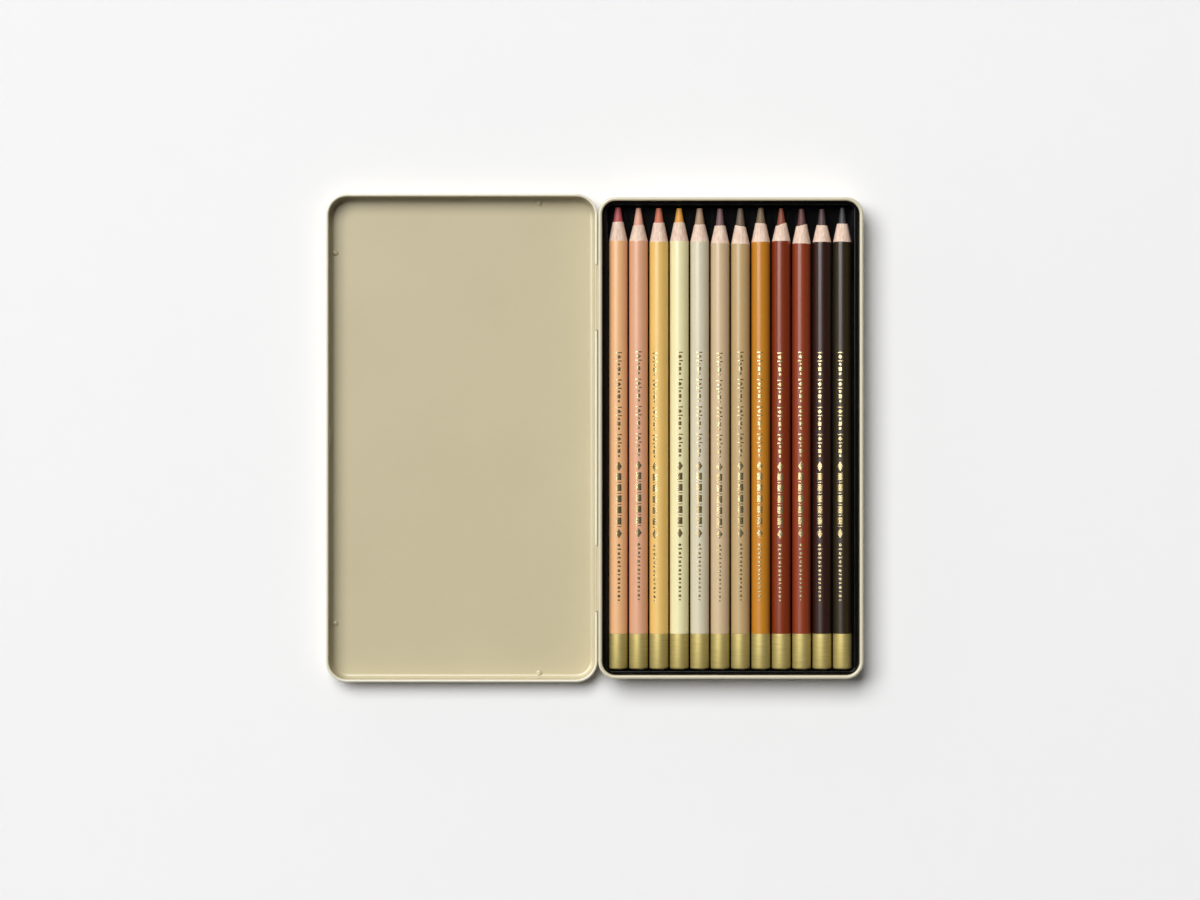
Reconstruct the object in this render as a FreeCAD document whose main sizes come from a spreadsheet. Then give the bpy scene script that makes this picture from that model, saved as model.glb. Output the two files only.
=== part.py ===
import FreeCAD, Part
import math
import os
from types import SimpleNamespace

import Sketcher
from FreeCAD import Placement, Rotation, Vector

# A flat hinged tin of twelve round colour pencils, lying open with its lid folded flat.
# +Z is up, the pencils point along +Y, the lid lies to -X and the base to +X.

# Driving sizes in millimetres and degrees
driving_sizes = {
    # pencils
    "pencil_diameter": 7.25,
    "pencil_length": 177.5,
    "pencil_gap": 0.59,
    "core_diameter": 4.0,
    "core_exposed_length": 6.0,
    "cone_length": 13.3,
    "tip_diameter": 2.2,
    "tip_edge_radius": 0.3,
    "cap_length": 13.6,
    "cap_thickness": 0.2,
    "cap_edge_radius": 0.4,
    "glue_gap": 0.02,
    # tray
    "tray_thickness": 0.45,
    "tray_clearance": 0.3,
    "groove_clearance": 0.25,
    "groove_depth": 2.2,
    "groove_lift": 0.1,
    "tip_well_length": 31.0,
    "recess_side_gap": 0.6,
    "recess_end_gap": 0.6,
    "flange_side_width": 1.2,
    "flange_end_width": 0.7,
    "flange_drop": 3.0,
    "tray_edge_radius": 0.4,
    # tin
    "sheet_thickness": 0.25,
    "rim_curl_diameter": 1.5,
    "rim_above_pencils": 3.25,
    "base_corner_radius": 6.7,
    "base_floor_radius": 1.6,
    "lid_clearance": 0.4,
    "lid_headroom": 1.2,
    "lid_floor_radius": 2.0,
    "curl_angle": 280.0,
    # hinge
    "pin_diameter": 0.55,
    "pin_running_clearance": 0.05,
    "pin_seat_clearance": 0.01,
    "pin_engagement": 6.0,
    "hinge_clearance": 0.2,
    "hinge_from_end": 38.3,
    "knuckle_length": 25.0,
    "knuckle_end_gap": 0.3,
    "notch_clearance": 0.3,
    # stop dimples and catch pressed into the lid
    "dimple_radius": 1.2,
    "dimple_height": 0.65,
    "dimple_from_wall": 2.4,
    "front_dimple_from_end": 21.5,
    "side_dimple_from_hinge": 22.0,
    "catch_length": 8.7,
    "catch_width": 2.0,
    "catch_height": 0.6,
    "catch_below_rim": 2.6,
    "catch_socket_clearance": 0.35,
}
pencil_count = 12

doc = FreeCAD.newDocument("pencil_tin")
sheet = doc.addObject("Spreadsheet::Sheet", "sizes")


class Size:
    # A number together with the spreadsheet formula that gives it

    def __init__(self, value, formula):
        self.value = value
        self.formula = formula

    def __add__(self, other):
        other = as_size(other)
        return Size(self.value + other.value, f"({self.formula} + {other.formula})")

    def __sub__(self, other):
        other = as_size(other)
        return Size(self.value - other.value, f"({self.formula} - {other.formula})")

    def __mul__(self, other):
        other = as_size(other)
        return Size(self.value * other.value, f"({self.formula} * {other.formula})")

    def __truediv__(self, other):
        other = as_size(other)
        return Size(self.value / other.value, f"({self.formula} / {other.formula})")

    def __neg__(self):
        return Size(-self.value, f"(0 - {self.formula})")

    __radd__ = __add__
    __rmul__ = __mul__


def as_size(number):
    if isinstance(number, Size):
        return number
    return Size(float(number), f"({float(number)!r})")


def sine(angle):
    return Size(math.sin(math.radians(angle.value)), f"sin({angle.formula} * 1 deg)")


def cosine(angle):
    return Size(math.cos(math.radians(angle.value)), f"cos({angle.formula} * 1 deg)")


named = {}
for row, (name, number) in enumerate(driving_sizes.items(), start=1):
    sheet.set(f"A{row}", name)
    sheet.set(f"B{row}", str(number))
    sheet.setAlias(f"B{row}", name)
    named[name] = Size(number, f"sizes.{name}")
given = SimpleNamespace(**named)
doc.recompute()

# Sizes that follow from the driving ones
pencil_radius = given.pencil_diameter / 2
pencil_pitch = given.pencil_diameter + given.pencil_gap
groove_radius = pencil_radius + given.groove_clearance
pencil_row_width = given.pencil_diameter + pencil_pitch * (pencil_count - 1)
recess_width = pencil_row_width + given.recess_side_gap * 2
recess_length = given.pencil_length + given.recess_end_gap * 2
recess_corner_radius = given.recess_side_gap + given.recess_end_gap + given.cap_edge_radius
tub_width = recess_width + given.tray_thickness * 2
tub_length = recess_length + given.tray_thickness * 2
tray_width = tub_width + given.flange_side_width * 2
tray_length = tub_length + given.flange_end_width * 2
rim_inset = given.rim_curl_diameter + given.tray_clearance
base_width = tray_width + rim_inset * 2
base_length = tray_length + rim_inset * 2
tray_corner_radius = given.base_corner_radius - rim_inset

tray_floor = given.sheet_thickness
groove_bottom = tray_floor + given.groove_lift + given.tray_thickness
pencil_axis = groove_bottom + groove_radius
bed_top = groove_bottom + given.groove_depth
base_depth = pencil_axis + pencil_radius + given.rim_above_pencils
flange_top = base_depth - given.flange_drop
closed_height = base_depth + given.lid_headroom + given.sheet_thickness
hinge_height = closed_height / 2

pin_radius = given.pin_diameter / 2
rim_curl_radius = given.rim_curl_diameter / 2
lid_curl_radius = pin_radius + given.pin_running_clearance + given.sheet_thickness
hinge_offset = lid_curl_radius + given.hinge_clearance
lid_width = base_width + given.hinge_clearance + given.lid_clearance + given.sheet_thickness * 2
lid_length = base_length + (given.lid_clearance + given.sheet_thickness) * 2
lid_corner_radius = given.base_corner_radius + given.lid_clearance + given.sheet_thickness
lid_curl_overhang = lid_curl_radius * 2 - given.sheet_thickness

# The open box is centred on X, so the hinge line is a little off centre
lid_wall_to_hinge = lid_curl_radius - given.sheet_thickness
lid_reach = lid_wall_to_hinge + lid_width + lid_curl_overhang
base_reach = hinge_offset + base_width
hinge_x = (lid_reach - base_reach) / 2
base_centre_x = hinge_x + hinge_offset + base_width / 2
lid_centre_x = hinge_x - lid_wall_to_hinge - lid_width / 2

along_y = Rotation(Vector(1, 0, 0), -90)


def bind(feature, **properties):
    for name, size in properties.items():
        feature.setExpression(name, as_size(size).formula)


def place(feature, x=0, y=0, z=0, rotation=Rotation()):
    position = Vector(as_size(x).value, as_size(y).value, as_size(z).value)
    feature.Placement = Placement(position, rotation)
    for axis, size in (("x", x), ("y", y), ("z", z)):
        feature.setExpression(f"Placement.Base.{axis}", as_size(size).formula)


def new_body(name):
    return doc.addObject("PartDesign::Body", name)


def origin_plane(body, role):
    return next(plane for plane in body.Origin.OriginFeatures if plane.Role == role)


def fix_point(sketch, shape, end, x, y):
    # Ties one end of a sketch line or arc to its coordinates
    origin, x_axis, y_axis = (-1, 1), -1, -2
    for kind, size, zero_axis in (("DistanceX", as_size(x), y_axis), ("DistanceY", as_size(y), x_axis)):
        if abs(size.value) < 1e-9:
            sketch.addConstraint(Sketcher.Constraint("PointOnObject", shape, end, zero_axis))
            continue
        if size.value < 0:
            number = sketch.addConstraint(Sketcher.Constraint(kind, shape, end, *origin, -size.value))
            size = -size
        else:
            number = sketch.addConstraint(Sketcher.Constraint(kind, *origin, shape, end, size.value))
        sketch.setExpression(f"Constraints[{number}]", size.formula)


def arc_geometry(start, end, centre, clockwise):
    radius = (start - centre).Length
    angle = [math.atan2(point.y - centre.y, point.x - centre.x) for point in (start, end)]
    if clockwise:
        angle.reverse()
    return Part.ArcOfCircle(Part.Circle(centre, Vector(0, 0, 1), radius), *angle)


def draw_outline(body, name, role, steps, height=0):
    # Each step is (x, y) for a straight side from that corner on,
    # or (x, y, centre x, centre y, radius, turn) for an arc, with turn "cw" or "ccw"
    sketch = body.newObject("Sketcher::SketchObject", name)
    sketch.AttachmentSupport = [(origin_plane(body, role), "")]
    sketch.MapMode = "FlatFace"
    sketch.AttachmentOffset = Placement(Vector(0, 0, as_size(height).value), Rotation())
    sketch.setExpression("AttachmentOffset.Base.z", as_size(height).formula)
    corners = [Vector(as_size(step[0]).value, as_size(step[1]).value, 0) for step in steps]
    ends = []
    for index, step in enumerate(steps):
        start = corners[index]
        end = corners[(index + 1) % len(steps)]
        if len(step) == 2:
            shape = sketch.addGeometry(Part.LineSegment(start, end))
            ends.append((shape, 1, 2))
            continue
        centre = Vector(as_size(step[2]).value, as_size(step[3]).value, 0)
        clockwise = step[5] == "cw"
        shape = sketch.addGeometry(arc_geometry(start, end, centre, clockwise))
        ends.append((shape, 2, 1) if clockwise else (shape, 1, 2))
    for index, step in enumerate(steps):
        shape, start, _ = ends[index]
        before, _, last = ends[index - 1]
        sketch.addConstraint(Sketcher.Constraint("Coincident", before, last, shape, start))
        fix_point(sketch, shape, start, step[0], step[1])
        if len(step) > 2:
            radius = as_size(step[4])
            number = sketch.addConstraint(Sketcher.Constraint("Radius", shape, radius.value))
            sketch.setExpression(f"Constraints[{number}]", radius.formula)
    return sketch


def rounded_rectangle(width, length, radius, middle_y=0):
    # Starts half way along the -X side and goes round clockwise
    right = width / 2
    left = -right
    middle_y = as_size(middle_y)
    top = middle_y + length / 2
    bottom = middle_y - length / 2
    return [
        (left, middle_y),
        (left, top - radius, left + radius, top - radius, radius, "cw"),
        (left + radius, top),
        (right - radius, top, right - radius, top - radius, radius, "cw"),
        (right, top - radius),
        (right, bottom + radius, right - radius, bottom + radius, radius, "cw"),
        (right - radius, bottom),
        (left + radius, bottom, left + radius, bottom + radius, radius, "cw"),
        (left, bottom + radius),
    ]


def pad(body, name, sketch, length):
    feature = body.newObject("PartDesign::Pad", name)
    feature.Profile = sketch
    bind(feature, Length=length)
    return feature


def pocket(body, name, sketch, length):
    # Cuts upwards from its sketch
    feature = body.newObject("PartDesign::Pocket", name)
    feature.Profile = sketch
    feature.Reversed = True
    bind(feature, Length=length)
    return feature


def fuse(name, features):
    feature = doc.addObject("Part::MultiFuse", name)
    feature.Shapes = features
    feature.Refine = True
    return feature


def cut(name, base, tool):
    feature = doc.addObject("Part::Cut", name)
    feature.Base = base
    feature.Tool = tool
    feature.Refine = True
    return feature


def box(name, low, high):
    # A block between two opposite corners
    feature = doc.addObject("Part::Box", name)
    spans = [as_size(top) - bottom for bottom, top in zip(low, high)]
    bind(feature, Length=spans[0], Width=spans[1], Height=spans[2])
    place(feature, *low)
    return feature


def rod(name, radius, x, z, first_y, last_y):
    # A round bar along Y
    feature = doc.addObject("Part::Cylinder", name)
    bind(feature, Radius=radius, Height=as_size(last_y) - first_y)
    place(feature, x, first_y, z, along_y)
    return feature


def drawn_pan(name, width, length, corner_radius, floor_radius, curl_radius, curl_height, curl_inward):
    # A sheet pan open upwards: floor, bent-up walls and a curled rim, all of one thickness
    body = new_body(name)
    sheet_metal = given.sheet_thickness
    wall = -(width / 2)
    wall_inside = wall + sheet_metal
    inner_curl_radius = curl_radius - sheet_metal
    bend = (wall + floor_radius, floor_radius)
    if curl_inward:
        curl_x = wall + curl_radius
        lead, follow, turn, back = curl_radius, inner_curl_radius, "cw", "ccw"
        end_cosine = -cosine(given.curl_angle)
        lead_angle_sign = -1
    else:
        curl_x = wall_inside - curl_radius
        lead, follow, turn, back = inner_curl_radius, curl_radius, "ccw", "cw"
        end_cosine = cosine(given.curl_angle)
        lead_angle_sign = 1
    end_sine = sine(given.curl_angle)
    curl = (curl_x, curl_height)
    section = draw_outline(body, name + "_section", "XZ_Plane", [
        (wall + floor_radius, as_size(0), *bend, floor_radius, "cw"),
        (wall, floor_radius),
        (wall, curl_height, *curl, lead, turn),
        (curl_x + lead * end_cosine, curl_height + lead * end_sine),
        (curl_x + follow * end_cosine, curl_height + follow * end_sine, *curl, follow, back),
        (wall_inside, curl_height),
        (wall_inside, floor_radius, *bend, floor_radius - sheet_metal, "ccw"),
        (wall + floor_radius, sheet_metal),
    ])
    path = draw_outline(body, name + "_path", "XY_Plane", rounded_rectangle(width, length, corner_radius))
    doc.recompute()
    rim = body.newObject("PartDesign::AdditivePipe", name + "_walls")
    rim.Profile = section
    rim.Spine = (path, [f"Edge{number + 1}" for number in range(len(path.Shape.Edges))])
    inset = floor_radius * 2
    floor_outline = rounded_rectangle(width - inset, length - inset, corner_radius - floor_radius)
    floor = draw_outline(body, name + "_floor_outline", "XY_Plane", floor_outline)
    doc.recompute()
    pad(body, name + "_floor", floor, sheet_metal)
    doc.recompute()
    return body


# Base pan with its hinge tabs and the socket for the catch
base_pan = drawn_pan(
    "base_pan", base_width, base_length, given.base_corner_radius, given.base_floor_radius,
    rim_curl_radius, base_depth - rim_curl_radius, True)
place(base_pan, x=base_centre_x)

half_sheet = given.sheet_thickness / 2
hinge_middle = base_length / 2 - given.hinge_from_end
hinge_middles = {"upper": hinge_middle, "lower": -hinge_middle}
knuckle_half = given.knuckle_length / 2
notch_half = knuckle_half + given.knuckle_end_gap
pin_half = notch_half + given.pin_engagement
tab_high = hinge_height + lid_curl_radius - half_sheet
tab_low = tab_high - given.sheet_thickness
tab_end = hinge_x + hinge_offset + half_sheet
notch_reach = lid_curl_radius + given.notch_clearance
pin_bore_radius = pin_radius + given.pin_seat_clearance

hinge_tabs = []
pin_bores = []
lid_notches = []
hinge_pins = {}
for side, middle in hinge_middles.items():
    first, last = middle - knuckle_half, middle + knuckle_half
    knuckle = rod("knuckle_" + side, lid_curl_radius, hinge_x, hinge_height, first, last)
    tab = box("tab_" + side, (hinge_x, first, tab_low), (tab_end, last, tab_high))
    hinge_tabs += [knuckle, tab]
    first, last = middle - notch_half, middle + notch_half
    pin_bores.append(rod("pin_bore_" + side, pin_bore_radius, hinge_x, hinge_height, first, last))
    notch_low = (hinge_x - notch_reach, first, hinge_height - notch_reach)
    notch_high = (hinge_x + notch_reach, last, hinge_height + notch_reach)
    lid_notches.append(box("lid_notch_" + side, notch_low, notch_high))
    first, last = middle - pin_half, middle + pin_half
    hinge_pins[side] = rod("pin_" + side, pin_radius, hinge_x, hinge_height, first, last)


def oval(name, reach_x, reach_y, reach_z, x, z, y=0):
    # A smooth oval lump, in the middle of the front walls unless y says otherwise
    feature = doc.addObject("Part::Ellipsoid", name)
    feature.Angle1, feature.Angle2, feature.Angle3 = -90, 90, 360
    bind(feature, Radius1=reach_z, Radius2=reach_x, Radius3=reach_y)
    place(feature, x, y, z)
    return feature


# A pressed feature is a lump inside the wall and the same lump, one sheet further out, taken away
catch_z = hinge_height + lid_curl_radius - given.catch_below_rim
catch_sizes = (given.catch_height + half_sheet, given.catch_length / 2, given.catch_width / 2)
lid_front = lid_centre_x - lid_width / 2
catch_lump = oval("catch_lump", *catch_sizes, lid_front + half_sheet, catch_z)
catch_dent = oval("catch_dent", *catch_sizes, lid_front - half_sheet, catch_z)

socket_depth = given.catch_height - given.lid_clearance + given.catch_socket_clearance
socket_margin = given.catch_socket_clearance * 2
socket_sizes = (
    socket_depth + half_sheet,
    given.catch_length / 2 + socket_margin,
    given.catch_width / 2 + socket_margin,
)
base_front = base_centre_x + base_width / 2
socket_z = closed_height - catch_z
socket_lump = oval("socket_lump", *socket_sizes, base_front - half_sheet, socket_z)
socket_dent = oval("socket_dent", *socket_sizes, base_front + half_sheet, socket_z)

base_tin = cut(
    "base_tin",
    fuse("base_solid", [base_pan, socket_lump] + hinge_tabs),
    fuse("base_cuts", [socket_dent] + pin_bores))

# Lid pan, upside down beside the base
lid_pan = drawn_pan(
    "lid_pan", lid_width, lid_length, lid_corner_radius, given.lid_floor_radius,
    lid_curl_radius, hinge_height, False)
place(lid_pan, x=lid_centre_x)

lid_end = lid_length / 2
front_dimple_x = lid_front + given.dimple_from_wall
front_dimple_y = lid_end - given.front_dimple_from_end
side_dimple_x = hinge_x - given.side_dimple_from_hinge
side_dimple_y = lid_end - given.dimple_from_wall
dimple_places = {
    "front_upper": (front_dimple_x, front_dimple_y),
    "front_lower": (front_dimple_x, -front_dimple_y),
    "side_upper": (side_dimple_x, side_dimple_y),
    "side_lower": (side_dimple_x, -side_dimple_y),
}
dimple_sizes = (given.dimple_radius, given.dimple_radius, given.dimple_height + half_sheet)
dimple_lumps = []
dimple_dents = []
for name, (x, y) in dimple_places.items():
    dimple_lumps.append(oval("dimple_lump_" + name, *dimple_sizes, x, half_sheet, y))
    dimple_dents.append(oval("dimple_dent_" + name, *dimple_sizes, x, -half_sheet, y))

lid_tin = cut(
    "lid_tin",
    fuse("lid_solid", [lid_pan, catch_lump] + dimple_lumps),
    fuse("lid_cuts", [catch_dent] + dimple_dents + lid_notches))

# Formed plastic tray: a flange, a tub, a lower well for the tips and a groove for each pencil
tray_sheet = given.tray_thickness
well_end = recess_length / 2
well_start = well_end - given.tip_well_length
well_middle = well_end - given.tip_well_length / 2
tub_corner_radius = recess_corner_radius + tray_sheet
tub = new_body("tray_tub")
flange_outline = draw_outline(
    tub, "flange_outline", "XY_Plane",
    rounded_rectangle(tray_width, tray_length, tray_corner_radius), flange_top - tray_sheet)
pad(tub, "flange", flange_outline, tray_sheet)
tub_outline = draw_outline(
    tub, "tub_outline", "XY_Plane",
    rounded_rectangle(tub_width, tub_length, tub_corner_radius), bed_top - tray_sheet)
pad(tub, "tub_walls", tub_outline, flange_top - bed_top + tray_sheet)
well_outline = draw_outline(
    tub, "well_outline", "XY_Plane",
    rounded_rectangle(tub_width, given.tip_well_length + tray_sheet * 2, tub_corner_radius, well_middle),
    tray_floor)
pad(tub, "well_walls", well_outline, bed_top - tray_floor)
recess_outline = draw_outline(
    tub, "recess_outline", "XY_Plane",
    rounded_rectangle(recess_width, recess_length, recess_corner_radius), bed_top)
pocket(tub, "recess", recess_outline, flange_top - bed_top + tray_sheet)
well_floor_outline = draw_outline(
    tub, "well_floor_outline", "XY_Plane",
    rounded_rectangle(recess_width, given.tip_well_length, recess_corner_radius, well_middle),
    tray_floor + tray_sheet)
well = pocket(tub, "well", well_floor_outline, bed_top - tray_floor)
doc.recompute()
tolerance = 1e-6
recess_lip = [
    f"Edge{number}" for number, edge in enumerate(well.Shape.Edges, start=1)
    if all(point.Z > flange_top.value - tolerance
           and abs(point.X) < recess_width.value / 2 + tolerance for point in edge.Vertexes)
    and abs(edge.CenterOfMass.y) < recess_length.value / 2 + tolerance]
soft_edges = tub.newObject("PartDesign::Fillet", "soft_edges")
soft_edges.Base = (well, recess_lip)
bind(soft_edges, Radius=given.tray_edge_radius)
place(tub, x=base_centre_x)

pencil_places = [
    base_centre_x + pencil_pitch * (number - (pencil_count - 1) / 2) for number in range(pencil_count)]
groove_end = well_start + tray_sheet
groove_shells = []
groove_cuts = []
for number, x in enumerate(pencil_places, start=1):
    shell_name = f"groove_shell_{number:02d}"
    shell_radius = groove_radius + tray_sheet
    groove_shells.append(rod(shell_name, shell_radius, x, pencil_axis, -tub_length / 2, well_start))
    cut_name = f"groove_cut_{number:02d}"
    groove_cuts.append(rod(cut_name, groove_radius, x, pencil_axis, -recess_length / 2, groove_end))


def below_bed(name, features, last_y):
    # Keeps only what lies under the top of the pencil bed
    feature = doc.addObject("Part::Common", name)
    feature.Base = fuse(name + "_rods", features)
    low = (base_centre_x - tub_width / 2, -tub_length / 2, tray_floor)
    high = (base_centre_x + tub_width / 2, last_y, bed_top)
    feature.Tool = box(name + "_slab", low, high)
    return feature


groove_bed = below_bed("groove_bed", groove_shells, well_start)
groove_hollows = below_bed("groove_hollows", groove_cuts, groove_end)
pencil_tray = cut("pencil_tray", fuse("tray_solid", [tub, groove_bed]), groove_hollows)

# Pencils: each is a wooden casing, a core and an end cap, turned about the pencil's axis
tip = given.pencil_length / 2
rear = -tip
rear_face = rear + given.cap_thickness + given.glue_gap
cap_end = rear + given.cap_length
cone_start = tip - given.cone_length
wood_end = tip - given.core_exposed_length
core_radius = given.core_diameter / 2
core_bore_radius = core_radius + given.glue_gap
seat_radius = pencil_radius - given.cap_thickness - given.glue_gap
cap_inside = pencil_radius - given.cap_thickness
tip_radius = given.tip_diameter / 2
tip_flat = tip_radius - given.tip_edge_radius
tip_shoulder = tip - given.tip_edge_radius
cap_flat = pencil_radius - given.cap_edge_radius
cap_shoulder = rear + given.cap_edge_radius
on_axis = as_size(0)

pencil_outlines = {
    "casing": [
        (core_bore_radius, rear_face),
        (seat_radius, rear_face),
        (seat_radius, cap_end + given.glue_gap),
        (pencil_radius, cap_end + given.glue_gap),
        (pencil_radius, cone_start),
        (core_bore_radius, wood_end),
    ],
    "core": [
        (on_axis, rear_face),
        (core_radius, rear_face),
        (core_radius, wood_end),
        (tip_radius, tip_shoulder, tip_flat, tip_shoulder, given.tip_edge_radius, "ccw"),
        (tip_flat, tip),
        (on_axis, tip),
    ],
    "end_cap": [
        (on_axis, rear),
        (cap_flat, rear, cap_flat, cap_shoulder, given.cap_edge_radius, "ccw"),
        (pencil_radius, cap_shoulder),
        (pencil_radius, cap_end),
        (cap_inside, cap_end),
        (cap_inside, rear + given.cap_thickness),
        (on_axis, rear + given.cap_thickness),
    ],
}


def turned_piece(name, outline, x):
    body = new_body(name)
    sketch = draw_outline(body, name + "_outline", "XY_Plane", outline)
    turning = body.newObject("PartDesign::Revolution", name + "_turning")
    turning.Profile = sketch
    turning.ReferenceAxis = (sketch, ["V_Axis"])
    turning.Angle = 360
    place(body, x=x, z=pencil_axis)
    return body


nodes = {
    "base_tin": base_tin,
    "lid_tin": lid_tin,
    "hinge_pin_upper": hinge_pins["upper"],
    "hinge_pin_lower": hinge_pins["lower"],
    "pencil_tray": pencil_tray,
}
for number, x in enumerate(pencil_places, start=1):
    for piece, outline in pencil_outlines.items():
        node = f"pencil_{number:02d}_{piece}"
        nodes[node] = turned_piece(node, outline, x)

doc.recompute()

# Nothing is written unless every feature is sound and every piece is one valid solid
for feature in doc.Objects:
    if "Invalid" in feature.State or "Error" in feature.State:
        raise RuntimeError(f"{feature.Name} is {feature.State}")
for node, feature in nodes.items():
    feature.Label = node
    shape = feature.Shape
    if shape.isNull() or not shape.isValid() or len(shape.Solids) != 1:
        raise RuntimeError(f"{node} is not one valid solid")

os.makedirs("parts", exist_ok=True)
for node, feature in nodes.items():
    feature.Shape.exportStep(f"parts/{node}.step")
print(f"{len(nodes)} pieces, closed height {closed_height.value:.2f} mm, hinge at x {hinge_x.value:.2f} mm")
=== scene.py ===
import math
import random

import bmesh
import bpy
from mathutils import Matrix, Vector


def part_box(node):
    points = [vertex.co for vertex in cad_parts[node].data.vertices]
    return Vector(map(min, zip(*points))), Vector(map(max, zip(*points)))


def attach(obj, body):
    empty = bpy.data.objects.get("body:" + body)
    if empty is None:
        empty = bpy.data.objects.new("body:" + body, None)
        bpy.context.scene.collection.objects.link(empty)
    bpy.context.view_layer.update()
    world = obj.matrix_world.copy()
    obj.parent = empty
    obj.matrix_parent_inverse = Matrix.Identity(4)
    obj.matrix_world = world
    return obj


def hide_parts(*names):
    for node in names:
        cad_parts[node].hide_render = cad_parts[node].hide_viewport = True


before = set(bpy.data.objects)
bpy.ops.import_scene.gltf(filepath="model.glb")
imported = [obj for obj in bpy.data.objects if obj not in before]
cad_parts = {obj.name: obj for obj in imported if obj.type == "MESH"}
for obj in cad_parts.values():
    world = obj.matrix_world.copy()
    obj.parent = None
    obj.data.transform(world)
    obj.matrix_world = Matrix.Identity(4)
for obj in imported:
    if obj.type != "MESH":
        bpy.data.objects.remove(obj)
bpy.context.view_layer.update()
mm = 0.001
print("frame loaded:", len(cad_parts), "nodes")


# Colours are written as seen on screen and turned into scene values here
def paint(red, green, blue):
    scaled = [channel / 255 for channel in (red, green, blue)]
    linear = [c / 12.92 if c <= 0.04045 else ((c + 0.055) / 1.055) ** 2.4 for c in scaled]
    return (*linear, 1.0)


def shade(colour, factor):
    return (*[min(1.0, channel * factor) for channel in colour[:3]], 1.0)


# Small helpers for node trees
def addNode(tree, kind, inputs=None, **settings):
    made = tree.nodes.new(kind)
    for key, value in settings.items():
        setattr(made, key, value)
    for key, value in (inputs or {}).items():
        if isinstance(value, bpy.types.NodeSocket):
            tree.links.new(value, made.inputs[key])
        else:
            made.inputs[key].default_value = value
    return made


def mixColour(tree, factor, first, second):
    made = addNode(tree, "ShaderNodeMix", data_type="RGBA", blend_type="MIX", clamp_factor=True)
    sockets = {0: factor, 6: first, 7: second}  # factor, colour A, colour B
    for index, value in sockets.items():
        if isinstance(value, bpy.types.NodeSocket):
            tree.links.new(value, made.inputs[index])
        else:
            made.inputs[index].default_value = value
    return made.outputs[2]


def calculate(tree, operation, first, second=0.0, clamp=False):
    made = addNode(tree, "ShaderNodeMath", {0: first, 1: second}, operation=operation, use_clamp=clamp)
    return made.outputs[0]


def weaken(tree, mask, share):
    return calculate(tree, "MULTIPLY", mask, share)


def spread(tree, value, low, high, fromLow=0.0, fromHigh=1.0):
    inputs = {"Value": value, "From Min": fromLow, "From Max": fromHigh, "To Min": low, "To Max": high}
    return addNode(tree, "ShaderNodeMapRange", inputs).outputs["Result"]


def newGroup(name, inputs, outputs):
    group = bpy.data.node_groups.new(name, "ShaderNodeTree")
    for label, value in inputs.items():
        kind = "NodeSocketVector" if isinstance(value, tuple) else "NodeSocketFloat"
        socket = group.interface.new_socket(name=label, in_out="INPUT", socket_type=kind)
        socket.default_value = value
    for label in outputs:
        group.interface.new_socket(name=label, in_out="OUTPUT", socket_type="NodeSocketFloat")
    return group, group.nodes.new("NodeGroupInput"), group.nodes.new("NodeGroupOutput")


# Broad and fine unevenness of a coated surface, plus a few dust specks
def makeCoatGroup():
    group, given, result = newGroup(
        "coatUnevenness", {"Broad Scale": 30.0, "Fine Scale": 1500.0, "Speck Scale": 700.0},
        ("Broad", "Fine", "Specks"))
    place = addNode(group, "ShaderNodeTexCoord").outputs["Object"]
    broad = addNode(group, "ShaderNodeTexNoise", {
        "Vector": place, "Scale": given.outputs["Broad Scale"], "Detail": 3.0, "Roughness": 0.55})
    fine = addNode(group, "ShaderNodeTexNoise", {
        "Vector": place, "Scale": given.outputs["Fine Scale"], "Detail": 2.0, "Roughness": 0.5})
    cells = addNode(group, "ShaderNodeTexVoronoi", {"Vector": place, "Scale": given.outputs["Speck Scale"]})
    near = spread(group, cells.outputs["Distance"], 1.0, 0.0, 0.03, 0.09)
    rare = calculate(group, "GREATER_THAN", cells.outputs["Color"], 0.82)
    group.links.new(broad.outputs["Fac"], result.inputs["Broad"])
    group.links.new(fine.outputs["Fac"], result.inputs["Fine"])
    group.links.new(calculate(group, "MULTIPLY", near, rare), result.inputs["Specks"])
    return group


# Streaks along one direction, for wood grain, drawn wire, turned metal and formed sheet
def makeStreakGroup():
    group, given, result = newGroup(
        "directedStreaks", {"Stretch": (1.0, 1.0, 1.0), "Contrast": 1.0}, ("Streaks", "Bands"))
    place = addNode(group, "ShaderNodeTexCoord").outputs["Object"]
    stretched = addNode(
        group, "ShaderNodeVectorMath", {0: place, 1: given.outputs["Stretch"]}, operation="MULTIPLY")
    fine = addNode(group, "ShaderNodeTexNoise", {
        "Vector": stretched.outputs["Vector"], "Scale": 1.0, "Detail": 4.0, "Roughness": 0.6})
    wide = addNode(group, "ShaderNodeTexNoise", {
        "Vector": stretched.outputs["Vector"], "Scale": 0.28, "Detail": 2.0, "Roughness": 0.5})
    centred = calculate(group, "SUBTRACT", fine.outputs["Fac"], 0.5)
    stronger = calculate(group, "MULTIPLY", centred, given.outputs["Contrast"])
    group.links.new(calculate(group, "ADD", stronger, 0.5, clamp=True), result.inputs["Streaks"])
    group.links.new(wide.outputs["Fac"], result.inputs["Bands"])
    return group


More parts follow.
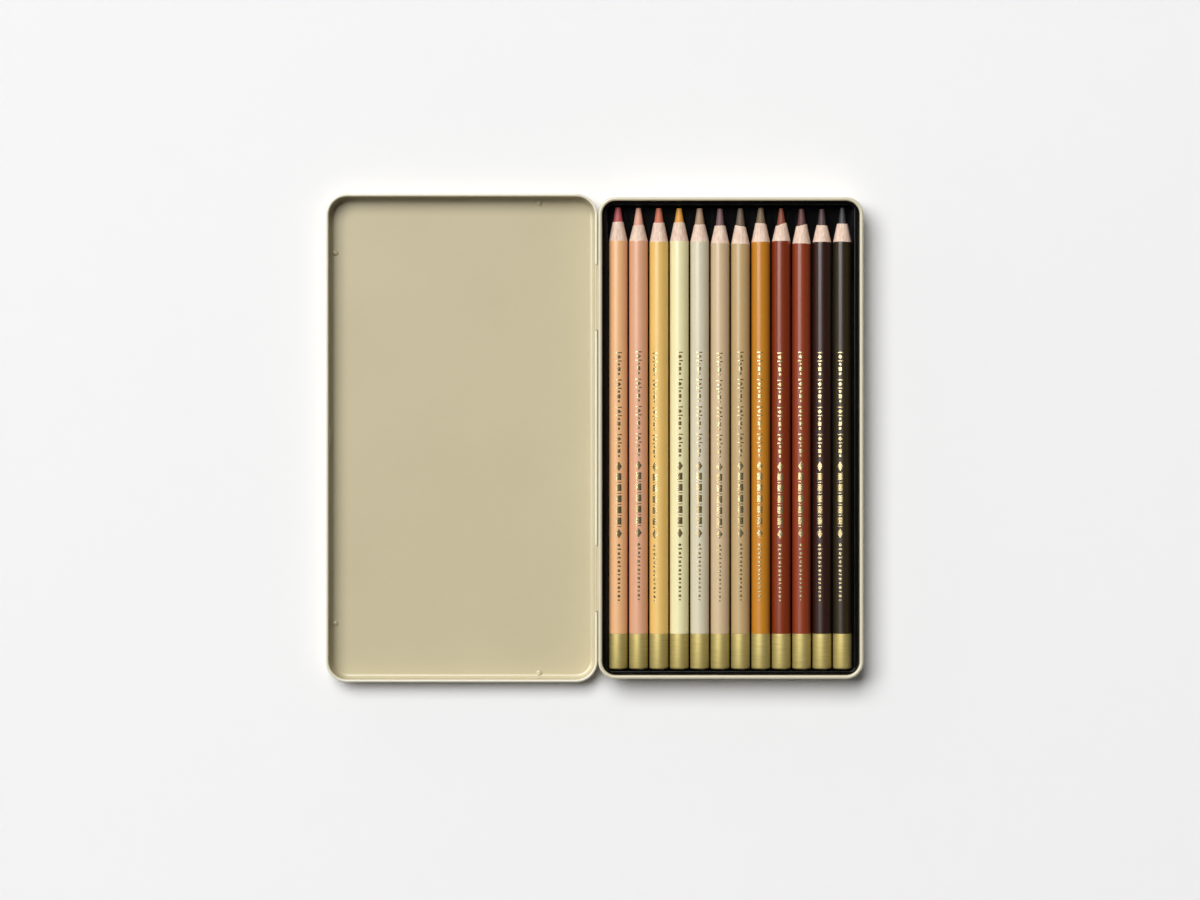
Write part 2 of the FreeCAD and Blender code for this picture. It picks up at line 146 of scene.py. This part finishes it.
# Rubbed edges: where a rounded normal leaves the true one, broken up by noise
def makeEdgeGroup():
    group, given, result = newGroup("rubbedEdges", {"Radius": 0.0004, "Breakup": 900.0}, ("Mask",))
    place = addNode(group, "ShaderNodeTexCoord").outputs["Object"]
    rounded = addNode(group, "ShaderNodeBevel", {"Radius": given.outputs["Radius"]}, samples=4)
    true = addNode(group, "ShaderNodeNewGeometry").outputs["Normal"]
    match = addNode(
        group, "ShaderNodeVectorMath", {0: rounded.outputs["Normal"], 1: true}, operation="DOT_PRODUCT")
    edge = spread(group, match.outputs["Value"], 1.0, 0.0, 0.75, 0.98)
    patches = addNode(group, "ShaderNodeTexNoise", {
        "Vector": place, "Scale": given.outputs["Breakup"], "Detail": 3.0, "Roughness": 0.6})
    broken = spread(group, patches.outputs["Fac"], 0.0, 1.0, 0.4, 0.65)
    group.links.new(calculate(group, "MULTIPLY", edge, broken, clamp=True), result.inputs["Mask"])
    return group


coatGroup = makeCoatGroup()
streakGroup = makeStreakGroup()
edgeGroup = makeEdgeGroup()


def useGroup(tree, group, **inputs):
    made = addNode(tree, "ShaderNodeGroup", node_tree=group)
    for label, value in inputs.items():
        made.inputs[label.replace("_", " ")].default_value = value
    return made.outputs


def newMaterial(name, **constants):
    material = bpy.data.materials.new(name)
    material.use_nodes = True
    tree = material.node_tree
    shader = tree.nodes["Principled BSDF"]
    for label, value in constants.items():
        shader.inputs[label.replace("_", " ")].default_value = value
    return material, tree, shader


def bumpInto(tree, shader, height, distance):
    bump = addNode(tree, "ShaderNodeBump", {"Height": height, "Distance": distance, "Strength": 1.0})
    tree.links.new(bump.outputs["Normal"], shader.inputs["Normal"])


print("node groups ready")

# Painted tin
tinPaint = {
    "colour": paint(201, 190, 156),
    # pale colour of rubbed edges, also used for the painted highlight over the rim
    "paleColour": paint(226, 222, 204),
    "speckColour": paint(240, 238, 228),
    "unevenness": (0.965, 1.03),
    "rubbedShare": 0.35,
    "rimHighlightDepths": (0.45 * mm, 0.1 * mm),  # below the rim's top: where the painted rim highlight starts and is full
    "rimHighlightShares": {"base_tin": 0.55, "lid_tin": 0.9},
    "roughness": (0.26, 0.36),
    "coatWeight": (0.35, 0.6),
    "orangePeel": 0.015 * mm,
}


# Painted highlight: the enamel is made lighter over the top of the curled rim, standing in for the light
# the rim catches; rubbed edges are lighter too
def makeTinPaint(node):
    material, tree, shader = newMaterial(node + "_enamel", IOR=1.55, Coat_Roughness=0.18)
    coat = useGroup(tree, coatGroup, Broad_Scale=26.0, Fine_Scale=1100.0, Speck_Scale=260.0)
    edges = useGroup(tree, edgeGroup, Radius=0.35 * mm, Breakup=500.0)
    darker, lighter = (shade(tinPaint["colour"], factor) for factor in tinPaint["unevenness"])
    uneven = mixColour(tree, coat["Broad"], darker, lighter)
    place = addNode(tree, "ShaderNodeTexCoord").outputs["Object"]
    height = addNode(tree, "ShaderNodeSeparateXYZ", {"Vector": place}).outputs["Z"]
    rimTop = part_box(node)[1].z
    rimStart, rimFull = (rimTop - depth for depth in tinPaint["rimHighlightDepths"])
    # painted highlight over the rim top, stronger on the lid, joined with the lighter rubbed edges
    paintedRimHighlight = spread(tree, height, 0.0, tinPaint["rimHighlightShares"][node], rimStart, rimFull)
    paleMask = calculate(tree, "MAXIMUM", paintedRimHighlight, weaken(tree, edges["Mask"], tinPaint["rubbedShare"]))
    colour = mixColour(tree, paleMask, uneven, tinPaint["paleColour"])
    specked = mixColour(tree, weaken(tree, coat["Specks"], 0.12), colour, tinPaint["speckColour"])
    tree.links.new(specked, shader.inputs["Base Color"])
    tree.links.new(spread(tree, coat["Broad"], *tinPaint["roughness"]), shader.inputs["Roughness"])
    tree.links.new(spread(tree, coat["Fine"], *tinPaint["coatWeight"]), shader.inputs["Coat Weight"])
    bumpInto(tree, shader, coat["Fine"], tinPaint["orangePeel"])
    return material


# Hinge wire
def makeHingeWire():
    material, tree, shader = newMaterial("hinge_wire_steel", Metallic=1.0)
    lines = useGroup(tree, streakGroup, Stretch=(9000.0, 300.0, 9000.0), Contrast=1.6)
    colour = mixColour(tree, lines["Bands"], paint(150, 148, 144), paint(198, 196, 190))
    tree.links.new(colour, shader.inputs["Base Color"])
    tree.links.new(spread(tree, lines["Streaks"], 0.22, 0.42), shader.inputs["Roughness"])
    bumpInto(tree, shader, lines["Streaks"], 0.01 * mm)
    return material


# Black formed tray
def makeTrayPlastic():
    material, tree, shader = newMaterial("tray_black_sheet", IOR=1.5, Specular_IOR_Level=0.3)
    coat = useGroup(tree, coatGroup, Broad_Scale=45.0, Fine_Scale=900.0, Speck_Scale=420.0)
    flow = useGroup(tree, streakGroup, Stretch=(900.0, 90.0, 900.0), Contrast=1.4)
    edges = useGroup(tree, edgeGroup, Radius=0.5 * mm, Breakup=350.0)
    dark = mixColour(tree, coat["Broad"], paint(5, 5, 5), paint(9, 9, 10))
    stretched = mixColour(tree, weaken(tree, edges["Mask"], 0.5), dark, paint(24, 24, 25))
    dusty = mixColour(tree, weaken(tree, coat["Specks"], 0.15), stretched, paint(90, 88, 84))
    tree.links.new(dusty, shader.inputs["Base Color"])
    tree.links.new(spread(tree, flow["Streaks"], 0.12, 0.26), shader.inputs["Roughness"])
    bumpInto(tree, shader, flow["Streaks"], 0.03 * mm)
    return material


# Gold end caps
goldCap = {
    "deep": paint(164, 145, 78),
    "bright": paint(198, 182, 116),
    "paleColour": paint(236, 222, 158),
    "roughness": (0.48, 0.62),
    "turningDepth": 0.012 * mm,
}


def makeGoldCap():
    material, tree, shader = newMaterial("end_cap_gold", Metallic=0.45)
    turning = useGroup(tree, streakGroup, Stretch=(120.0, 4200.0, 120.0), Contrast=1.8)
    edges = useGroup(tree, edgeGroup, Radius=0.3 * mm, Breakup=700.0)
    lines = mixColour(tree, turning["Streaks"], goldCap["deep"], goldCap["bright"])
    paleMask = weaken(tree, edges["Mask"], 0.6)
    colour = mixColour(tree, paleMask, lines, goldCap["paleColour"])
    tree.links.new(colour, shader.inputs["Base Color"])
    tree.links.new(spread(tree, turning["Bands"], *goldCap["roughness"]), shader.inputs["Roughness"])
    bumpInto(tree, shader, turning["Streaks"], goldCap["turningDepth"])
    return material


# Gold foil of the barrel marks
def makeFoil():
    material, tree, shader = newMaterial("barrel_foil", Metallic=0.92)
    coat = useGroup(tree, coatGroup, Broad_Scale=240.0, Fine_Scale=2600.0, Speck_Scale=1500.0)
    colour = mixColour(tree, coat["Broad"], paint(190, 158, 92), paint(248, 232, 188))
    tree.links.new(colour, shader.inputs["Base Color"])
    tree.links.new(spread(tree, coat["Fine"], 0.12, 0.34), shader.inputs["Roughness"])
    bumpInto(tree, shader, coat["Fine"], 0.01 * mm)
    return material


# Bare wood of the sharpened cones
def makeCedar():
    material, tree, shader = newMaterial("sharpened_wood", IOR=1.4)
    grain = useGroup(tree, streakGroup, Stretch=(1900.0, 110.0, 1900.0), Contrast=3.0)
    coat = useGroup(tree, coatGroup, Broad_Scale=160.0, Fine_Scale=2400.0, Speck_Scale=1800.0)
    light = mixColour(tree, grain["Bands"], paint(248, 232, 210), paint(238, 208, 188))
    streaked = mixColour(tree, weaken(tree, grain["Streaks"], 0.75), light, paint(204, 164, 142))
    pores = mixColour(tree, weaken(tree, coat["Specks"], 0.3), streaked, paint(150, 112, 86))
    tree.links.new(pores, shader.inputs["Base Color"])
    tree.links.new(spread(tree, coat["Fine"], 0.55, 0.75), shader.inputs["Roughness"])
    bumpInto(tree, shader, grain["Streaks"], 0.06 * mm)
    return material


def makeLacquer(number, colour):
    material, tree, shader = newMaterial(f"lacquer_{number:02d}", IOR=1.52, Coat_Roughness=0.16)
    coat = useGroup(tree, coatGroup, Broad_Scale=70.0, Fine_Scale=700.0, Speck_Scale=520.0)
    flow = useGroup(tree, streakGroup, Stretch=(1500.0, 40.0, 1500.0), Contrast=1.0)
    uneven = mixColour(tree, coat["Broad"], shade(colour, 0.95), shade(colour, 1.04))
    drawn = mixColour(tree, weaken(tree, flow["Streaks"], 0.1), uneven, shade(colour, 0.8))
    dusty = mixColour(tree, weaken(tree, coat["Specks"], 0.12), drawn, paint(225, 215, 200))
    tree.links.new(dusty, shader.inputs["Base Color"])
    tree.links.new(spread(tree, coat["Broad"], 0.28, 0.38), shader.inputs["Roughness"])
    tree.links.new(spread(tree, coat["Fine"], 0.3, 0.45), shader.inputs["Coat Weight"])
    bumpInto(tree, shader, coat["Fine"], 0.01 * mm)
    return material


def makeCore(number, colour):
    material, tree, shader = newMaterial(f"core_{number:02d}", IOR=1.45)
    coat = useGroup(tree, coatGroup, Broad_Scale=500.0, Fine_Scale=3800.0, Speck_Scale=2200.0)
    cuts = useGroup(tree, streakGroup, Stretch=(2600.0, 700.0, 2600.0), Contrast=1.8)
    uneven = mixColour(tree, coat["Broad"], shade(colour, 0.86), shade(colour, 1.12))
    scraped = mixColour(tree, weaken(tree, cuts["Streaks"], 0.3), uneven, shade(colour, 0.72))
    tree.links.new(scraped, shader.inputs["Base Color"])
    tree.links.new(spread(tree, coat["Fine"], 0.4, 0.62), shader.inputs["Roughness"])
    bumpInto(tree, shader, cuts["Streaks"], 0.05 * mm)
    return material


wireMaterial = makeHingeWire()
trayMaterial = makeTrayPlastic()
capMaterial = makeGoldCap()
foilMaterial = makeFoil()
woodMaterial = makeCedar()
print("shared materials ready")


def dress(node, material):
    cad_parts[node].material_slots[0].material = material


for tinNode in ("base_tin", "lid_tin"):
    dress(tinNode, makeTinPaint(tinNode))
for wireNode in ("hinge_pin_upper", "hinge_pin_lower"):
    dress(wireNode, wireMaterial)
dress("pencil_tray", trayMaterial)


# Mesh making
sharpAngle = math.radians(35.0)


def finishMesh(name, bm, material):
    bmesh.ops.recalc_face_normals(bm, faces=bm.faces)
    mesh = bpy.data.meshes.new(name)
    bm.to_mesh(mesh)
    bm.free()
    mesh.polygons.foreach_set("use_smooth", [True] * len(mesh.polygons))
    mesh.set_sharp_from_angle(angle=sharpAngle)
    mesh.materials.append(material)
    piece = bpy.data.objects.new(name, mesh)
    bpy.context.scene.collection.objects.link(piece)
    return piece


# A point beside a line along Y, its angle counted from straight up
def aboutAxis(axisX, axisZ, radius, angle, y):
    return (axisX + radius * math.sin(angle), y, axisZ + radius * math.cos(angle))


# Turns a profile about a line along Y: profileAt(angle) lists (radius, y) from one end to the other.
# A profile that starts and ends on the axis closes in points, any other closes on itself as a ring.
def turnPiece(name, profileAt, axisX, axisZ, material):
    bm = bmesh.new()
    segments = pencilForm["segments"]
    columns = []
    onAxis = profileAt(0.0)[0][0] == 0.0
    poles = {}
    for step in range(segments):
        angle = 2 * math.pi * step / segments
        column = []
        for index, (radius, y) in enumerate(profileAt(angle)):
            if radius == 0.0:
                if index not in poles:
                    poles[index] = bm.verts.new((axisX, y, axisZ))
                column.append(poles[index])
                continue
            column.append(bm.verts.new(aboutAxis(axisX, axisZ, radius, angle, y)))
        columns.append(column)
    count = len(columns[0])
    rows = count - 1 if onAxis else count
    for step in range(segments):
        here, there = columns[step], columns[(step + 1) % segments]
        for row in range(rows):
            corners = [here[row], here[(row + 1) % count], there[(row + 1) % count], there[row]]
            bm.faces.new(list(dict.fromkeys(corners)))
    return finishMesh(name, bm, material)


def arcPoints(centreR, centreY, radius, first, last, steps):
    angles = [math.radians(first + (last - first) * step / steps) for step in range(steps + 1)]
    return [(centreR + radius * math.cos(a), centreY + radius * math.sin(a)) for a in angles]


# Points on a straight stretch between two profile points
def linePoints(first, last, shares):
    return [tuple(a + (b - a) * share for a, b in zip(first, last)) for share in shares]


# Pencils: colours, how each was sharpened (millimetres) and how far it lies turned (degrees)
pencilSet = {
    1: {"lacquer": paint(238, 183, 130), "core": paint(184, 86, 88), "exposed": 5.7, "blunted": 0.0,
        "tilt": 0.0, "coreBase": 1.88, "tip": 1.1, "paintEdge": 0.35, "roll": 4.0},
    2: {"lacquer": paint(224, 168, 132), "core": paint(226, 168, 142), "exposed": 6.7, "blunted": 0.25,
        "tilt": 0.15, "coreBase": 1.95, "tip": 0.95, "paintEdge": 0.3, "roll": 0.0},
    3: {"lacquer": paint(234, 193, 110), "core": paint(202, 114, 86), "exposed": 5.7, "blunted": 0.33,
        "tilt": 0.0, "coreBase": 1.8, "tip": 1.08, "paintEdge": -0.15, "roll": -27.0},
    4: {"lacquer": paint(238, 229, 178), "core": paint(224, 160, 66), "exposed": 5.5, "blunted": 0.4,
        "tilt": 0.05, "coreBase": 1.84, "tip": 1.03, "paintEdge": 0.2, "roll": 2.0},
    5: {"lacquer": paint(214, 205, 178), "core": paint(172, 142, 114), "exposed": 6.3, "blunted": 0.4,
        "tilt": 0.2, "coreBase": 1.94, "tip": 1.08, "paintEdge": 0.05, "roll": -4.0},
    6: {"lacquer": paint(208, 182, 144), "core": paint(122, 94, 94), "exposed": 6.6, "blunted": 0.55,
        "tilt": 0.0, "coreBase": 1.65, "tip": 0.98, "paintEdge": -0.6, "roll": -5.0},
    7: {"lacquer": paint(193, 164, 116), "core": paint(110, 94, 76), "exposed": 6.9, "blunted": 0.4,
        "tilt": -0.8, "coreBase": 1.84, "tip": 1.0, "paintEdge": -0.85, "roll": -1.0},
    8: {"lacquer": paint(196, 128, 30), "core": paint(124, 104, 78), "exposed": 6.0, "blunted": 0.25,
        "tilt": -0.3, "coreBase": 1.88, "tip": 1.03, "paintEdge": -0.1, "roll": -9.0},
    9: {"lacquer": paint(130, 48, 14), "core": paint(140, 74, 54), "exposed": 6.2, "blunted": 0.4,
        "tilt": 1.25, "coreBase": 1.7, "tip": 0.8, "paintEdge": 0.25, "roll": -9.0},
    10: {"lacquer": paint(140, 56, 24), "core": paint(104, 64, 60), "exposed": 6.4, "blunted": 0.58,
         "tilt": 0.85, "coreBase": 1.7, "tip": 1.0, "paintEdge": -0.75, "roll": -6.0},
    11: {"lacquer": paint(50, 24, 16), "core": paint(84, 66, 68), "exposed": 6.4, "blunted": 0.63,
         "tilt": -0.25, "coreBase": 1.63, "tip": 0.95, "paintEdge": -0.15, "roll": -17.0},
    12: {"lacquer": paint(46, 36, 18), "core": paint(70, 70, 72), "exposed": 6.3, "blunted": 0.13,
         "tilt": 0.0, "coreBase": 1.45, "tip": 0.86, "paintEdge": -0.1, "roll": -17.0},
}
pencilForm = {
    "coneLength": 13.3 * mm,
    "woodEndRadius": 2.1 * mm,
    "lacquerThickness": 0.07 * mm,
    "jointGap": 0.02 * mm,
    "capEdge": 0.7 * mm,
    "capWall": 0.2 * mm,
    "capDish": 0.12 * mm,
    "capDishShares": (0.62, 0.7),  # of the radius: where the dish's floor ends, and its slope
    "leadRounding": 0.3 * mm,
    "waveShare": 0.4,  # least height of a wave, as a share of the greatest
    "paintWave": 0.07 * mm,
    "woodWave": 0.1 * mm,
    "segments": 72,
}


# A few soft waves round a circle, different on each pencil
def roundWaves(rng, size, harmonics):
    parts = []
    for order in harmonics:
        high = rng.uniform(pencilForm["waveShare"], 1.0) * size / order ** 0.5
        parts.append((high, order, rng.uniform(0, 2 * math.pi)))
    return lambda angle: sum(high * math.sin(order * angle + start) for high, order, start in parts)


def makePencil(number, look):
    body = f"pencil_{number:02d}"
    casing, core, cap = (f"{body}_{part}" for part in ("casing", "core", "end_cap"))
    low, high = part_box(casing)
    radius = (high.x - low.x) / 2
    axisX, axisZ = (low.x + high.x) / 2, (low.z + high.z) / 2
    rearFace = low.y
    coreLow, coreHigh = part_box(core)
    coreRadius = (coreHigh.x - coreLow.x) / 2
    capLow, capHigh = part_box(cap)
    capEnd = capHigh.y
    tipY = coreHigh.y - look["blunted"] * mm
    rng = random.Random(500 + number)
    paintWaves = roundWaves(rng, pencilForm["paintWave"], (1, 2, 3, 7, 11))
    woodWaves = roundWaves(rng, pencilForm["woodWave"], (2, 3, 5, 8))
    lacquer = makeLacquer(number, look["lacquer"])
    skin = pencilForm["lacquerThickness"]
    wall = pencilForm["capWall"]
    bore = coreRadius + pencilForm["jointGap"]
    seatRadius = radius - wall - pencilForm["jointGap"]
    coneStart = coreHigh.y - pencilForm["coneLength"] + look["paintEdge"] * mm

    def paintEdge(angle):
        return coneStart + paintWaves(angle)

    def woodEdge(angle):
        return tipY - look["exposed"] * mm + look["tilt"] * mm / 2 * math.sin(angle) + woodWaves(angle)

    def barrelProfile(angle):
        edge = paintEdge(angle)
        return [
            (bore, rearFace), (seatRadius, rearFace), (seatRadius, capEnd),
            (radius - 0.05 * mm, capEnd), (radius, capEnd + 0.06 * mm),
            (radius, edge - 0.35 * mm), (radius, edge - 0.12 * mm),
            (radius - 0.02 * mm, edge - 0.04 * mm), (radius - skin, edge), (bore, edge)]

    def woodProfile(angle):
        start, end = paintEdge(angle) - 0.1 * mm, woodEdge(angle)
        outer = radius - skin * 0.8
        lip = pencilForm["woodEndRadius"]
        slope = linePoints((outer, start), (lip, end), (0.0, 0.25, 0.5, 0.75, 0.97))
        return [(bore * 0.8, start)] + slope + [(lip - 0.04 * mm, end), (bore * 0.8, end)]

    def coreProfile(angle):
        start = woodEdge(angle) - 0.05 * mm
        base, tip = look["coreBase"] * mm, look["tip"] * mm
        rounding = pencilForm["leadRounding"]
        shoulder = tipY - rounding
        sides = linePoints((base, start), (tip, shoulder), (0.0, 0.25, 0.5, 0.75))
        nose = arcPoints(tip - rounding, shoulder, rounding, 0, 90, 4)
        inside = bore * 0.85
        rear = [(0.0, rearFace), (inside, rearFace), (inside, start - 1.0 * mm)]
        return rear + sides + nose + [(0.0, tipY)]

    def capProfile(angle):
        rear = capLow.y
        edge = pencilForm["capEdge"]
        corner = arcPoints(radius - edge, rear + edge, edge, -90, 0, 6)
        inner = radius - wall
        dish = rear + pencilForm["capDish"]
        dishFloor, dishSlope = (radius * share for share in pencilForm["capDishShares"])
        outside = [(0.0, dish), (dishFloor, dish), (dishSlope, rear + 0.02 * mm)]
        mouth = [
            (radius, capEnd - 0.1 * mm), (radius - 0.03 * mm, capEnd - 0.02 * mm),
            (radius - 0.08 * mm, capEnd)]
        inside = [(inner, capEnd), (inner, rear + 2 * wall), (0.0, rear + 2 * wall)]
        return outside + corner + mouth + inside

    pigment = makeCore(number, look["core"])
    barrelPiece = turnPiece(body + "_barrel", barrelProfile, axisX, axisZ, lacquer)
    woodPiece = turnPiece(body + "_wood_cone", woodProfile, axisX, axisZ, woodMaterial)
    corePiece = turnPiece(body + "_lead", coreProfile, axisX, axisZ, pigment)
    capPiece = turnPiece(body + "_gold_cap", capProfile, axisX, axisZ, capMaterial)
    for piece, node in ((barrelPiece, casing), (woodPiece, casing), (corePiece, core), (capPiece, cap)):
        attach(piece, body)
        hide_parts(node)


for pencilNumber, pencilLook in pencilSet.items():
    makePencil(pencilNumber, pencilLook)
print("pencils made:", len(pencilSet))

# Foil marks: plain bars, lozenges and dots pressed into the lacquer along the top of each barrel
foilMarks = {
    "start": 33.0 * mm,
    "across": 2.3 * mm,
    "over": 0.02 * mm,
    "under": 0.03 * mm,
    "columns": 10,
    "startSpread": 0.3 * mm,
    "smallGroups": 4,
    "barPairs": 5,
    "endDots": 7,
}
markForms = {
    "bar": lambda t: 1.0,
    "lozenge": lambda t: max(0.08, 1.0 - abs(t)),
    "dot": lambda t: max(0.15, (1.0 - t * t) ** 0.5),
}


# One mark wrapped round the barrel, closed on all sides: across and along are half sizes
def addMark(bm, form, middleY, across, along, radius, axisX, axisZ, roll):
    rings = []
    for step in range(foilMarks["columns"] + 1):
        t = 2 * step / foilMarks["columns"] - 1
        angle = roll + t * across / radius
        half = along * markForms[form](t)
        ring = []
        for level, y in ((1, -half), (1, half), (0, half), (0, -half)):
            r = radius + (foilMarks["over"] if level else -foilMarks["under"])
            ring.append(bm.verts.new(aboutAxis(axisX, axisZ, r, angle, middleY + y)))
        rings.append(ring)
    for here, there in zip(rings, rings[1:]):
        for corner in range(4):
            following = (corner + 1) % 4
            bm.faces.new((here[corner], here[following], there[following], there[corner]))
    bm.faces.new(rings[0])
    bm.faces.new(rings[-1][::-1])


# The run of marks, from the cone towards the cap: (form, half length, half width as a share, gap after)
def markRun():
    run = []
    smallGroup = [
        ("bar", 0.22, 1.0, 0.55), ("lozenge", 0.85, 0.8, 0.5), ("bar", 0.22, 1.0, 0.55),
        ("dot", 0.5, 0.42, 0.6), ("bar", 0.75, 0.55, 0.6), ("dot", 0.5, 0.42, 1.6)]
    barPair = [("bar", 1.35, 0.9, 0.6), ("bar", 0.18, 0.9, 0.6)]
    run += smallGroup * foilMarks["smallGroups"]
    run += [("lozenge", 1.9, 1.0, 0.7)]
    run += barPair * foilMarks["barPairs"]
    run += [("lozenge", 1.9, 1.0, 2.0)]
    for step in range(foilMarks["endDots"]):
        run += [("dot", 0.55, 0.5, 0.7), ("bar", 0.28, 0.75 - 0.07 * step, 0.9)]
    return run


def makeFoilMarks(number, look):
    body = f"pencil_{number:02d}"
    low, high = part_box(f"{body}_casing")
    radius = (high.x - low.x) / 2
    axisX, axisZ = (low.x + high.x) / 2, (low.z + high.z) / 2
    rng = random.Random(900 + number)
    roll = math.radians(look["roll"])
    y = foilMarks["start"] + rng.uniform(-1.0, 1.0) * foilMarks["startSpread"]
    bm = bmesh.new()
    for form, halfLength, share, gap in markRun():
        half = halfLength * mm
        addMark(bm, form, y - half, share * foilMarks["across"] / 2, half, radius, axisX, axisZ, roll)
        y -= 2 * half + gap * mm
    piece = finishMesh(body + "_foil_marks", bm, foilMaterial)
    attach(piece, body)
    return y


for pencilNumber, pencilLook in pencilSet.items():
    foilEnd = makeFoilMarks(pencilNumber, pencilLook)
print("foil marks end at", round(foilEnd / mm, 1), "mm")

# Floor, light and camera
studio = {
    "floorReach": 18.0,
    "floorFlat": 9.0,  # from here on the floor rises into a cove
    "floorSteps": 48,
    "coveRise": 0.06,
    "floorColour": (0.91, 0.91, 0.91, 1.0),
    "zenith": 0.03,
    "horizon": 0.09,
    "lampHeight": 10.0,
    "lampLevel": 2.29,
    "lamps": {  # where each softbox hangs, as shares of the height: (low x, high x), (low y, high y)
        "softbox_left": ((-1.1, -0.2), (0.06, 1.1)),
        "softbox_far": ((-0.2, 0.02), (0.3, 1.1)),
    },
}


def makeFloor():
    bm = bmesh.new()
    steps = studio["floorSteps"]
    bmesh.ops.create_grid(bm, x_segments=steps, y_segments=steps, size=studio["floorReach"])
    for vert in bm.verts:
        beyond = max(0.0, math.hypot(vert.co.x, vert.co.y) - studio["floorFlat"])
        vert.co.z = studio["coveRise"] * beyond ** 2
    material, tree, shader = newMaterial("pale_floor", Roughness=0.9, Specular_IOR_Level=0.1)
    coat = useGroup(tree, coatGroup, Broad_Scale=3.0, Fine_Scale=400.0, Speck_Scale=300.0)
    pale = mixColour(tree, coat["Broad"], shade(studio["floorColour"], 0.99), studio["floorColour"])
    tree.links.new(pale, shader.inputs["Base Color"])
    finishMesh("studio_floor", bm, material)


# Wide softboxes hang level, up and to the left; both are equally bright
def makeSoftbox(name, reachX, reachY):
    height = studio["lampHeight"]
    lowX, highX = (share * height for share in reachX)
    lowY, highY = (share * height for share in reachY)
    lamp = bpy.data.lights.new(name, "AREA")
    lamp.shape = "RECTANGLE"
    lamp.size = highX - lowX
    lamp.size_y = highY - lowY
    lamp.energy = studio["lampLevel"] * math.pi ** 2 * lamp.size * lamp.size_y
    softbox = bpy.data.objects.new(name, lamp)
    softbox.location = ((lowX + highX) / 2, (lowY + highY) / 2, height)
    bpy.context.scene.collection.objects.link(softbox)


# The room round them is dim, a little lighter low down
def makeRoom():
    world = bpy.data.worlds.new("studio")
    world.use_nodes = True
    tree = world.node_tree
    background = tree.nodes["Background"]
    background.inputs["Color"].default_value = (1.0, 1.0, 1.0, 1.0)
    direction = addNode(tree, "ShaderNodeTexCoord").outputs["Generated"]
    upward = addNode(tree, "ShaderNodeSeparateXYZ", {"Vector": direction}).outputs["Z"]
    fall = calculate(tree, "POWER", calculate(tree, "SUBTRACT", 1.0, upward, clamp=True), 2.0)
    tree.links.new(spread(tree, fall, studio["zenith"], studio["horizon"]), background.inputs["Strength"])
    bpy.context.scene.world = world


# The photo looks straight down; its frame is 1200 by 900 pixels
view = {
    "framePixels": 1200,
    "pixelsPerMetre": 2600.0,
    "middle": (2.25 * mm, -4.6 * mm),
    "scaleHeight": 4.7 * mm,
    "height": 1.4,
    "sensor": 36.0,
}


def makeCamera():
    lens = bpy.data.cameras.new("top_view")
    lens.sensor_fit = "HORIZONTAL"
    lens.sensor_width = view["sensor"]
    frameWidth = view["framePixels"] / view["pixelsPerMetre"]
    lens.lens = view["sensor"] * (view["height"] - view["scaleHeight"]) / frameWidth
    camera = bpy.data.objects.new("top_view", lens)
    camera.location = (*view["middle"], view["height"])
    bpy.context.scene.collection.objects.link(camera)
    bpy.context.scene.camera = camera


makeFloor()
for lampName, lampReach in studio["lamps"].items():
    makeSoftbox(lampName, *lampReach)
makeRoom()
makeCamera()
bpy.context.scene.view_settings.view_transform = "Standard"
print("studio ready")
